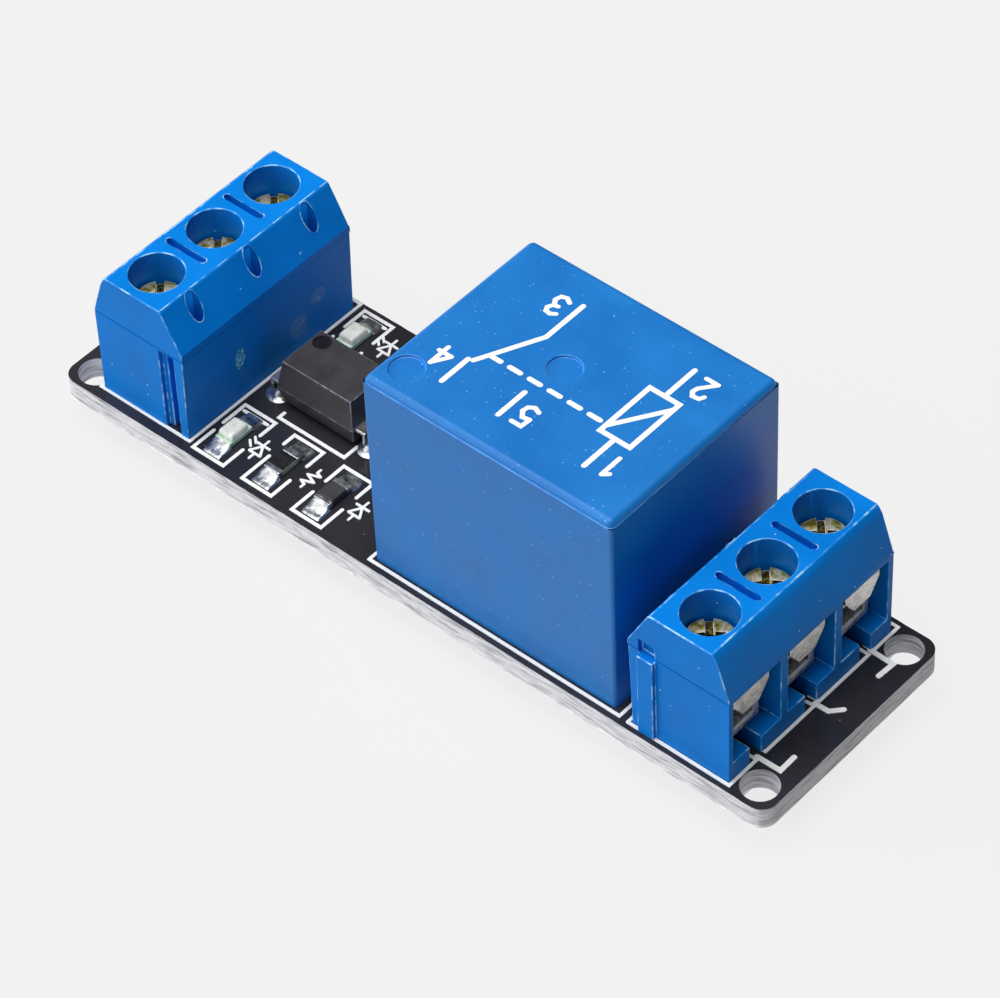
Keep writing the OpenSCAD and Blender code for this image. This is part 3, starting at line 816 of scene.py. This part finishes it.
diode_mark = [
    [(-0.9, 0), (-0.4, 0)],
    [(-0.4, -0.45), (-0.4, 0.45), (0.35, 0), (-0.4, -0.45)],
    [(0.4, -0.5), (0.4, 0.5)],
    [(0.45, 0), (0.9, 0)],
]
light_mark = diode_mark + [[(-0.1, 0.62), (0.25, 1.0)], [(0.3, 0.55), (0.65, 0.93)]]
resistor_mark = [
    [(-0.9, 0), (-0.6, 0), (-0.45, 0.4), (-0.15, -0.4), (0.15, 0.4), (0.45, -0.4), (0.6, 0), (0.9, 0)]
]
symbols = (
    placed(light_mark, -13.98, -5.3, 90)
    + placed(resistor_mark, -9.85, -5.1, 90)
    + placed(diode_mark, -5.75, -5.3, 90)
    + placed(light_mark, -13.8, 6.2, 90)
)
ribbons(
    "board_print",
    [
        (fine_lines, 0.24, ink_low, ink_high, False),
        (outlines, 0.22, ink_low, ink_high, True),
        (output_outline, 0.22, ink_low, ink_high, False),
        (contact_marks, 0.34, ink_low, ink_high, False),
        (symbols, 0.17, ink_low, ink_high, False),
    ],
    white_ink,
)
under_low, under_high = BOARD_UNDER - INK, BOARD_UNDER + 0.02
ribbons(
    "board_print_under",
    [
        (
            [
                rectangle(-25.38, -7.46, -17.78, 7.9),
                rectangle(17.4, -7.7, 25.3, 7.5),
                rectangle(-2.59, -7.8, 16.96, 7.8),
            ],
            0.2,
            under_low,
            under_high,
            True,
        )
    ],
    white_ink,
)

# ---- moulded blocks, relay and chips ----

# The housings' rounded edges and burr lines take the pale finish: partly real moulding flash, partly a
# painted highlight
for side in BLOCKS:
    dressed(
        f"housing_{side}",
        [block_blue, block_burr_and_highlight],
        0.06,
        edge_finish=1,
        burr=0.035,
        burr_above=BOARD_TOP + 6.9,
    )
# The cover's rounded edges take the paler finish, a painted highlight
dressed("relay_cover", [relay_blue, relay_edge_highlight], 0.05, edge_finish=1)
# The package's rounded edges take the grey finish, a painted highlight
opto = dressed("opto_body", [epoxy_black, epoxy_edge_highlight, pin_dimple], 0.05, edge_finish=1, angle=8)
opto_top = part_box("opto_body")[1].z
for face in opto.data.polygons:
    if face.normal.z > 0.9 and 0.02 * MM < opto_top - face.center.z < 0.5 * MM:
        face.material_index = 2
dressed("opto_leads", [tinned_lead], 0.07)
for side in BLOCKS:
    for pole in POLES:
        dressed(f"contact_{side}_{pole}", [strip_steel, tinned_lead], 0.04, edge_finish=1)
        dressed(f"cage_{side}_{pole}", [cage_nickel], 0.05)
for nodes, finish, width in (
    (("led_1_lens", "led_2_lens"), led_resin, 0.12),
    (("led_1_base", "led_2_base"), led_carrier, 0.03),
):
    for node in nodes:
        dressed(node, [finish], width)
for node in ("resistor_1", "resistor_2", "resistor_3"):
    item = dressed(node, [alumina, glaze_black], 0.03)
    for face in item.data.polygons:
        face.material_index = 1 if face.normal.z > 0.5 else 0
dressed("diode", [epoxy_black], 0.06)
for node in ("resistor_1_caps", "resistor_2_caps", "resistor_3_caps", "diode_caps"):
    dressed(node, [bright_solder], 0.05)
dressed("transistor_body", [epoxy_black], 0.06)
dressed("transistor_leads", [tinned_lead], 0.03)

# Gate vestige on the back wall of the input block: torn, whitened teal
gate_scar = surface(
    "torn_gate_scar", ("#1070b0", "#36aede", "#b8f0ff"), blotch=0.16, rough=(0.4, 0.6), grain=0.12,
    height=0.02,
)
# Faint bloom where the ejector pins pushed
ejector_bloom = surface(
    "ejector_bloom", ("#0576d8", "#1a80cc", "#64a8d4"), blotch=0.5, spread=(0.4, 0.7),
    rough=(0.45, 0.6), grain=0.1, height=0.006,
)
BACK_WALL = screw_place["in", 2].x + HEAD_TO_BACK
WALL_LEAN = 0.2 / 6.6  # the wall leans 0.2 mm out over 6.6 mm of height


def moulding_marks():
    """Thin ragged ovals lying on the block's leaning back wall."""
    draw = random.Random(5)
    work = bmesh.new()
    for y, z, wide, tall, finish in (
        (-2.55, 3.35, 0.46, 0.85, 0),
        (2.7, 2.1, 0.8, 0.95, 1),
        (4.5, 3.5, 0.7, 0.6, 1),
    ):
        rim = []
        for dy, dz in circle_path(0, 0, 1, 28):
            reach = 0.86 + 0.2 * draw.random()
            rim.append((y + dy * wide * reach, z + dz * tall * reach))
        rings = [
            [work.verts.new(mm(BACK_WALL + WALL_LEAN * b + out, a, BOARD_TOP + b)) for a, b in rim]
            for out in (-0.03, 0.005)
        ]
        for ring in rings:
            work.faces.new(ring).material_index = finish
        skin(work, rings)
    return closed_mesh("moulding_marks", work)


piece("moulding_marks", moulding_marks(), [gate_scar, ejector_bloom], "module")

# ---- print on the relay: a plain coil and changeover contact with numbered pins ----

DIGITS = {
    "1": [[(-0.25, 0.5), (0.1, 0.8), (0.1, -0.8)]],
    "2": [
        [(-0.4, 0.45), (-0.25, 0.75), (0.2, 0.8), (0.42, 0.5)]
        + [(0.35, 0.15), (-0.42, -0.8), (0.45, -0.8)]
    ],
    "3": [
        [(-0.4, 0.6), (-0.1, 0.8), (0.25, 0.75), (0.38, 0.45), (0.2, 0.12), (-0.1, 0.05)],
        [(0.2, 0.05), (0.42, -0.3), (0.3, -0.7), (-0.05, -0.82), (-0.42, -0.6)],
    ],
    "4": [[(0.22, -0.8), (0.22, 0.8), (-0.45, -0.3), (0.48, -0.3)]],
    "5": [
        [(0.4, 0.8), (-0.32, 0.8), (-0.38, 0.1), (0.1, 0.2)]
        + [(0.42, -0.2), (0.35, -0.6), (0, -0.82), (-0.42, -0.65)]
    ],
}
wiring = [
    [(-5.2, 2.2), (-5.2, 4.9)],
    [(-5.2, -2.2), (-5.2, -4.9)],
    [(-6.3, -1.7), (-4.1, 1.7)],
    [(3.2, -4.9), (3.2, -1.6), (5.2, 2.5)],
    [(5.5, 2.6), (5.5, 4.9)],
    [(1.2, 2.6), (1.2, 4.9)],
]
wiring += [[(-3.6 + 1.5 * k, 1.6), (-2.8 + 1.5 * k, 1.6)] for k in range(6)]
numbers = (
    placed(DIGITS["1"], -6.5, 4.0)
    + placed(DIGITS["2"], -6.6, -4.0)
    + placed(DIGITS["3"], 4.4, -4.0)
    + placed(DIGITS["4"], 6.8, 3.4)
    + placed(DIGITS["5"], -0.1, 4.0)
)
PRINT_LOW, PRINT_HIGH = relay_high.z - 0.03, relay_high.z + 0.006
coil_box = [rectangle(-6.3, -2.2, -4.1, 2.2)]
ribbons(
    "relay_print",
    [
        (placed(paths, RELAY_MIDDLE.x, RELAY_MIDDLE.y, 180), width, PRINT_LOW, PRINT_HIGH, closed)
        for paths, width, closed in (
            (wiring, 0.34, False),
            (numbers, 0.3, False),
            (coil_box, 0.34, True),
        )
    ],
    white_ink,
)

# ---- pieces set in place by geometry nodes ----


def baked(name, item):
    """Turns an object with modifiers into a plain mesh of one finish and removes the object."""
    evaluated = item.evaluated_get(bpy.context.evaluated_depsgraph_get())
    mesh = bpy.data.meshes.new_from_object(evaluated)
    mesh.name = name
    finish = next(made for made in mesh.materials if made)
    mesh.materials.clear()
    mesh.materials.append(finish)
    for face in mesh.polygons:
        face.material_index = 0
    bpy.data.objects.remove(item)
    return mesh


def inputs_of(tree, wanted):
    """Gives a geometry tree its named inputs, each of a socket kind, and its output."""
    for label, kind in wanted.items():
        tree.interface.new_socket(label, in_out="INPUT", socket_type=kind)
    tree.interface.new_socket("Geometry", in_out="OUTPUT", socket_type="NodeSocketGeometry")


def grown(name, tree, values, start_mesh=None):
    """A fresh object with the geometry tree and its values on it."""
    item = linked(name, start_mesh or bpy.data.meshes.new(name))
    modifier = item.modifiers.new("grown", "NODES")
    modifier.node_group = tree
    for socket in tree.interface.items_tree:
        if socket.in_out == "INPUT" and socket.name in values:
            modifier[socket.identifier] = values[socket.name]
    return item


SCREW = {
    "Head height": 1.05,
    "Crown": 0.28,
    "Thread radius": 1.44,
    "Thread depth": 0.2,
    "Slot width": 0.55,
    "Slot depth": 0.55,
    "Cross length": 1.9,
}
FITTED = ("Head radius", "Thread length", "Thread turns")  # worked out from each screw's node


def coated(tree, geometry, finish):
    """Ends a geometry tree with real meshes in one finish."""
    real = add(tree, "GeometryNodeRealizeInstances", {"Geometry": geometry})
    inputs = {"Geometry": real.outputs[0], "Material": finish}
    skinned = add(tree, "GeometryNodeSetMaterial", inputs)
    add(tree, "NodeGroupOutput", {"Geometry": skinned.outputs[0]})
    return tree


def screw_tree():
    """Clamp screw: a low domed head with a slot and a cross, a core and a rolled thread."""
    tree = bpy.data.node_groups.new("clamp screw", "GeometryNodeTree")
    inputs_of(
        tree,
        {
            **dict.fromkeys((*FITTED, *SCREW), "NodeSocketFloat"),
            "Place": "NodeSocketVector",
            "Turn": "NodeSocketVector",
            "Finish": "NodeSocketMaterial",
        },
    )
    given = add(tree, "NodeGroupInput").outputs

    def at(z):
        return add(tree, "ShaderNodeCombineXYZ", {"Z": z}).outputs[0]

    def moved(mesh, z):
        return add(
            tree, "GeometryNodeTransform", {"Geometry": mesh, "Translation": at(z)}
        ).outputs[0]

    half_head = maths(tree, "MULTIPLY", given["Head height"], 0.5)
    head = add(
        tree,
        "GeometryNodeMeshCylinder",
        {
            "Vertices": 48,
            "Fill Segments": 4,
            "Radius": given["Head radius"],
            "Depth": given["Head height"],
        },
        fill_type="TRIANGLE_FAN",
    )
    spot = add(tree, "GeometryNodeInputPosition").outputs[0]
    parts = add(tree, "ShaderNodeSeparateXYZ", {0: spot}).outputs
    from_axis = add(
        tree,
        "ShaderNodeVectorMath",
        {0: add(tree, "ShaderNodeCombineXYZ", {"X": parts["X"], "Y": parts["Y"]}).outputs[0]},
        operation="LENGTH",
    )
    share = maths(tree, "DIVIDE", from_axis.outputs["Value"], given["Head radius"])
    fall = maths(tree, "MULTIPLY", maths(tree, "MULTIPLY", share, share), given["Crown"])
    crowned = add(
        tree,
        "GeometryNodeSetPosition",
        {
            "Geometry": head.outputs["Mesh"],
            "Selection": maths(tree, "GREATER_THAN", parts["Z"], 0.0),
            "Offset": at(maths(tree, "MULTIPLY", fall, -1.0)),
        },
    )
    deep = maths(tree, "MULTIPLY", given["Slot depth"], 2.0)
    cut = add(
        tree,
        "GeometryNodeMeshBoolean",
        {"Mesh 1": crowned.outputs[0]},
        operation="DIFFERENCE",
    )
    for along, across, depth in (
        (maths(tree, "MULTIPLY", given["Head radius"], 2.4), given["Slot width"], deep),
        (given["Slot width"], given["Cross length"], maths(tree, "MULTIPLY", deep, 1.15)),
    ):
        size = add(tree, "ShaderNodeCombineXYZ", {"X": along, "Y": across, "Z": depth})
        cutter = add(tree, "GeometryNodeMeshCube", {"Size": size.outputs[0]})
        tree.links.new(moved(cutter.outputs["Mesh"], half_head), cut.inputs["Mesh 2"])
    root = maths(tree, "SUBTRACT", given["Thread radius"], given["Thread depth"])
    core = add(
        tree,
        "GeometryNodeMeshCylinder",
        {"Vertices": 32, "Radius": root, "Depth": given["Thread length"]},
    )
    below = maths(
        tree,
        "MULTIPLY", maths(tree, "ADD", given["Head height"], given["Thread length"]), -0.5
    )
    spiral = add(
        tree,
        "GeometryNodeCurveSpiral",
        {
            "Resolution": 32,
            "Rotations": given["Thread turns"],
            "Start Radius": root,
            "End Radius": root,
            "Height": maths(tree, "MULTIPLY", given["Thread length"], 0.9),
        },
    )
    ridge = add(
        tree,
        "GeometryNodeCurvePrimitiveCircle",
        {"Resolution": 3, "Radius": given["Thread depth"]},
    )
    thread = add(
        tree,
        "GeometryNodeCurveToMesh",
        {
            "Curve": spiral.outputs["Curve"],
            "Profile Curve": ridge.outputs["Curve"],
            "Fill Caps": True,
        },
    )
    start = maths(tree, "SUBTRACT", below, maths(tree, "MULTIPLY", given["Thread length"], 0.45))
    joined = add(tree, "GeometryNodeJoinGeometry")
    for part in (
        cut.outputs[0],
        moved(core.outputs["Mesh"], below),
        moved(thread.outputs["Mesh"], start),
    ):
        tree.links.new(part, joined.inputs[0])
    placed_screw = add(
        tree,
        "GeometryNodeTransform",
        {"Geometry": joined.outputs[0], "Translation": given["Place"], "Rotation": given["Turn"]},
    )
    return coated(tree, placed_screw.outputs[0], given["Finish"])


clamp_screw = screw_tree()
SLOT_TURN = -47
THREAD_PITCH = 0.5
THREADED = 0.9  # share of the shank that carries thread
HEAD_FIELD = 0.93  # share of the head's radius inside its rounded rim
SLOT_SHADE_FROM, SLOT_SHADE_TO = 0.12, 0.8  # how far below the crown a face counts as slot
for (side, pole), place in screw_place.items():
    node = f"screw_{side}_{pole}"
    low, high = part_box(node)
    head_radius = (high.x - low.x) / 2
    length = (high.z - low.z) / MM - SCREW["Head height"]
    item = grown(
        f"{node}_cut",
        clamp_screw,
        {
            "Head radius": head_radius,
            "Thread length": length * MM,
            "Thread turns": length * THREADED / THREAD_PITCH,
            **{label: size * MM for label, size in SCREW.items()},
            "Place": (place.x * MM, place.y * MM, high.z - SCREW["Head height"] / 2 * MM),
            "Turn": (0, 0, math.radians(SLOT_TURN)),
            "Finish": screw_zinc,
        },
    )
    mesh = baked(f"{node}_cut", item)
    smoothed(mesh, 35)
    cut_screw = piece(f"{node}_cut", mesh, [screw_zinc], node, [node])
    cut_screw.data.materials.append(slot_shade)
    cut_screw.data.materials.append(screw_edge_glint)
    # Faces sunk in the slot get the dark finish: painted shade
    for face in cut_screw.data.polygons:
        out = (face.center.xy - place.xy * MM).length
        sunk = high.z - SCREW["Crown"] * MM * (out / head_radius) ** 2 - face.center.z
        if out < HEAD_FIELD * head_radius and SLOT_SHADE_FROM * MM < sunk < SLOT_SHADE_TO * MM:
            face.material_index = 1
    # The screw's rounded edges take the near-white finish, a painted glint
    round_edges(cut_screw, 0.05, finish=2, angle=50)


def scatter_tree():
    """Sets one source piece on every given point, by the point's own turn and size."""
    tree = bpy.data.node_groups.new("set pieces", "GeometryNodeTree")
    tree.interface.new_socket("Points", in_out="INPUT", socket_type="NodeSocketGeometry")
    inputs_of(
        tree,
        {
            "Piece": "NodeSocketObject",
            "Wobble": "NodeSocketFloat",
            "Seed": "NodeSocketInt",
            "Finish": "NodeSocketMaterial",
        },
    )
    given = add(tree, "NodeGroupInput").outputs
    source = add(tree, "GeometryNodeObjectInfo", {"Object": given["Piece"]})
    turn, size = (
        add(tree, "GeometryNodeInputNamedAttribute", {"Name": label}, data_type="FLOAT_VECTOR")
        for label in ("turn", "size")
    )
    least = maths(tree, "SUBTRACT", 1.0, given["Wobble"])
    most = maths(tree, "ADD", 1.0, given["Wobble"])
    vary = add(
        tree,
        "FunctionNodeRandomValue",
        {2: least, 3: most, "Seed": given["Seed"]},
        data_type="FLOAT",
    )
    scale = add(
        tree,
        "ShaderNodeVectorMath",
        {0: size.outputs["Attribute"], "Scale": vary.outputs[1]},
        operation="SCALE",
    )
    copies = add(
        tree,
        "GeometryNodeInstanceOnPoints",
        {
            "Points": given["Points"],
            "Instance": source.outputs["Geometry"],
            "Rotation": turn.outputs["Attribute"],
            "Scale": scale.outputs[0],
        },
    )
    return coated(tree, copies.outputs[0], given["Finish"])


set_pieces = scatter_tree()


def scattered(
    name, source_mesh, places, finish, replaced=(), wobble=0.0, seed=3, body="module"
):
    """Copies of one mesh at (point, turn, size) places, as one plain mesh on a body."""
    source = linked(f"{name}_source", source_mesh)
    points = bpy.data.meshes.new(name)
    points.from_pydata([tuple(Vector(p) * MM) for p, _, _ in places], [], [])
    for label, index in (("turn", 1), ("size", 2)):
        values = points.attributes.new(label, "FLOAT_VECTOR", "POINT")
        for i, place in enumerate(places):
            values.data[i].vector = place[index]
    item = grown(
        name,
        set_pieces,
        {"Piece": source, "Wobble": wobble, "Seed": seed, "Finish": finish},
        points,
    )
    mesh = baked(name, item)
    bpy.data.objects.remove(source)
    smoothed(mesh, 60)
    return piece(name, mesh, [finish], body, replaced)


def turned_solid(name, profile, count=24):
    """A solid of revolution about Z from (radius, height) pairs in millimetres, closed at both ends."""
    work = bmesh.new()
    rings = [
        [work.verts.new((x * MM, y * MM, z * MM)) for x, y in circle_path(0, 0, radius, count)]
        for radius, z in profile
    ]
    skin(work, rings)
    caps(work, rings)
    return closed_mesh(name, work)


# a wave-soldered joint: wide foot on its pad, drawn up the pin
cone = turned_solid(
    "joint_source",
    [
        (0.62, 0.1), (1.12, 0.1), (1.15, -0.02), (1.1, -0.1), (0.93, -0.2), (0.76, -0.36),
        (0.64, -0.56), (0.56, -0.78), (0.5, -0.98), (0.4, -1.12), (0.2, -1.2), (0.05, -1.22),
    ],
)
joint_places = [
    ((x, y, BOARD_UNDER), (0, 0, 0.7 * i), (1, 1, 1))
    for i, (x, y) in enumerate(block_pins + relay_pins)
]
joint_places += [((x, y, BOARD_UNDER), (0, 0, 0.4), (0.92, 0.92, 0.98)) for x, y in coil_pins]
joint_places += [((x, y, BOARD_UNDER), (0, 0, 0.2), (0.75, 0.75, 0.75)) for x, y in opto_pins]
joint_places += [((x, y, BOARD_TOP), (math.pi, 0, 0.2), (0.78, 0.78, 0.42)) for x, y in opto_pins]
scattered(
    "soldered_joints",
    cone,
    joint_places,
    bright_solder,
    ["solder_in", "solder_out", "solder_relay", "solder_opto"],
    wobble=0.03,
)


def fillet_mesh():
    """Solder on a square pad, drawn up a chip's end: hollow slope, rounded sides, out along -Y."""
    work = bmesh.new()
    half, long, tall, skin = 0.74, 1.12, 0.44, 0.07
    steps = 12
    grid = []
    for j in range(steps + 1):
        t = j / steps
        row = []
        for i in range(steps + 1):
            s = i / steps * 2 - 1
            rim = min(1.0, 7 * (1 - abs(s)), 7 * (1 - t) + 0.01)
            swell = skin * math.sqrt(max(rim, 0.0))
            climb = (tall - skin) * (1 - t) ** 2.6 * (1 - 0.55 * s * s)
            pinch = 1 - 0.06 * max(0.0, t - 0.8) * 5
            x = s * half * pinch
            y = -long * t * (1 - 0.04 * s**4)
            row.append((x, y, swell + climb))
        grid.append(row)
    top = [[work.verts.new(Vector(p) * MM) for p in row] for row in grid]
    base = [[work.verts.new(Vector((p[0], p[1], -0.02)) * MM) for p in row] for row in grid]
    for j in range(steps):
        for i in range(steps):
            work.faces.new((top[j][i], top[j][i + 1], top[j + 1][i + 1], top[j + 1][i]))
            work.faces.new((base[j][i], base[j][i + 1], base[j + 1][i + 1], base[j + 1][i]))
    rim = [(j, 0) for j in range(steps + 1)]
    rim += [(steps, i) for i in range(1, steps + 1)]
    rim += [(j, steps) for j in range(steps - 1, -1, -1)]
    rim += [(0, i) for i in range(steps - 1, 0, -1)]
    for k in range(len(rim)):
        (a, b), (c, d) = rim[k], rim[(k + 1) % len(rim)]
        work.faces.new((top[a][b], top[c][d], base[c][d], base[a][b]))
    return closed_mesh("fillet_source", work)


fillet_places = [
    ((place.x, place.y + side, BOARD_TOP), (0, 0, turn), (1, 1, 1))
    for place in chip_places
    for side, turn in ((-1.0, 0), (1.0, math.pi))
]
transistor_place = centre("transistor_body")
fillet_places += [
    ((transistor_place.x + dx, transistor_place.y + dy, BOARD_TOP), (0, 0, turn), (0.6, 0.42, 0.4))
    for dx, dy, turn in ((-0.95, -1.2, 0), (0.95, -1.2, 0), (0, 1.2, math.pi))
]
scattered(
    "chip_solder",
    fillet_mesh(),
    fillet_places,
    bright_solder,
    ["solder_chips"],
    wobble=0.02,
    seed=8,
)


def tooth_mesh():
    """One coined ridge with a rounded back and sloped ends, long way along X."""
    work = bmesh.new()
    rings = []
    for x, tall, wide in (
        (0, -0.12, 0.07),
        (0.05, 0.14, 0.11),
        (0.5, 0.16, 0.11),
        (0.62, 0.02, 0.05),
    ):
        shoulder = tall * 0.4
        crest = wide * 0.45
        left = [(-wide, -0.2), (-wide, shoulder), (-crest, tall)]
        right = [(crest, tall), (wide, shoulder), (wide, -0.2)]
        rings.append([work.verts.new(mm(x, y, z)) for y, z in left + right])
    skin(work, rings)
    caps(work, rings)
    return closed_mesh("tooth_source", work)


CAGE_FLOOR = 0.6
TOOTH_PITCH = 0.27
# The cage floor's teeth take the near-white finish, a painted glint
for side, outward in BLOCKS.items():
    for pole in POLES:
        node = f"cage_{side}_{pole}"
        low, high = (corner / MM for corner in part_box(node))
        lip = high.x if outward > 0 else low.x
        scattered(
            f"{node}_teeth",
            tooth_mesh(),
            [
                (
                    (lip + 0.02 * outward, (low.y + high.y) / 2 + k * TOOTH_PITCH, low.z + CAGE_FLOOR),
                    (0, 0, math.pi if outward > 0 else 0),
                    (1, 1, 1),
                )
                for k in range(-4, 5)
            ],
            teeth_glint,
            wobble=0.08,
            seed=pole,
            body=node,
        )

# ---- sweep, lamps and sky ----

floor_work = bmesh.new()
bmesh.ops.create_grid(floor_work, x_segments=2, y_segments=2, size=1.0)
floor = linked("floor", mesh_of("floor", floor_work))
floor.data.materials.append(paper)
floor.location.z = -0.05 * MM


def lamp(name, place, aim, size, watts):
    """A soft square lamp at a place, aimed at a point, both in metres."""
    data = bpy.data.lights.new(name, "AREA")
    data.energy = watts
    data.size = size
    item = linked(name, data)
    item.location = place
    item.rotation_euler = (Vector(aim) - Vector(place)).to_track_quat("-Z", "Y").to_euler()


lamp("key", (-0.03, -0.06, 0.58), (0, 0, 0), 0.38, 3.0)
lamp("side", (-0.45, -0.36, 0.2), (0, 0, 0), 0.3, 0.5)

# a dark room with one pale corner, low on the input side
PALE_CORNER = (-0.75, -0.65, -0.2)
world = bpy.data.worlds.new("studio")
world.use_nodes = True
room = world.node_tree
room.nodes.clear()
toward = add(room, "ShaderNodeTexCoord").outputs["Generated"]
facing = add(room, "ShaderNodeVectorMath", {0: toward, 1: PALE_CORNER}, operation="DOT_PRODUCT")
wall = carried(room, facing.outputs["Value"], (0.0, 0.7), (0.06, 1.3))
glow = add(room, "ShaderNodeBackground", {"Color": wall})
add(room, "ShaderNodeOutputWorld", {"Surface": glow.outputs[0]})
scene.world = world
scene.view_settings.view_transform = "Standard"
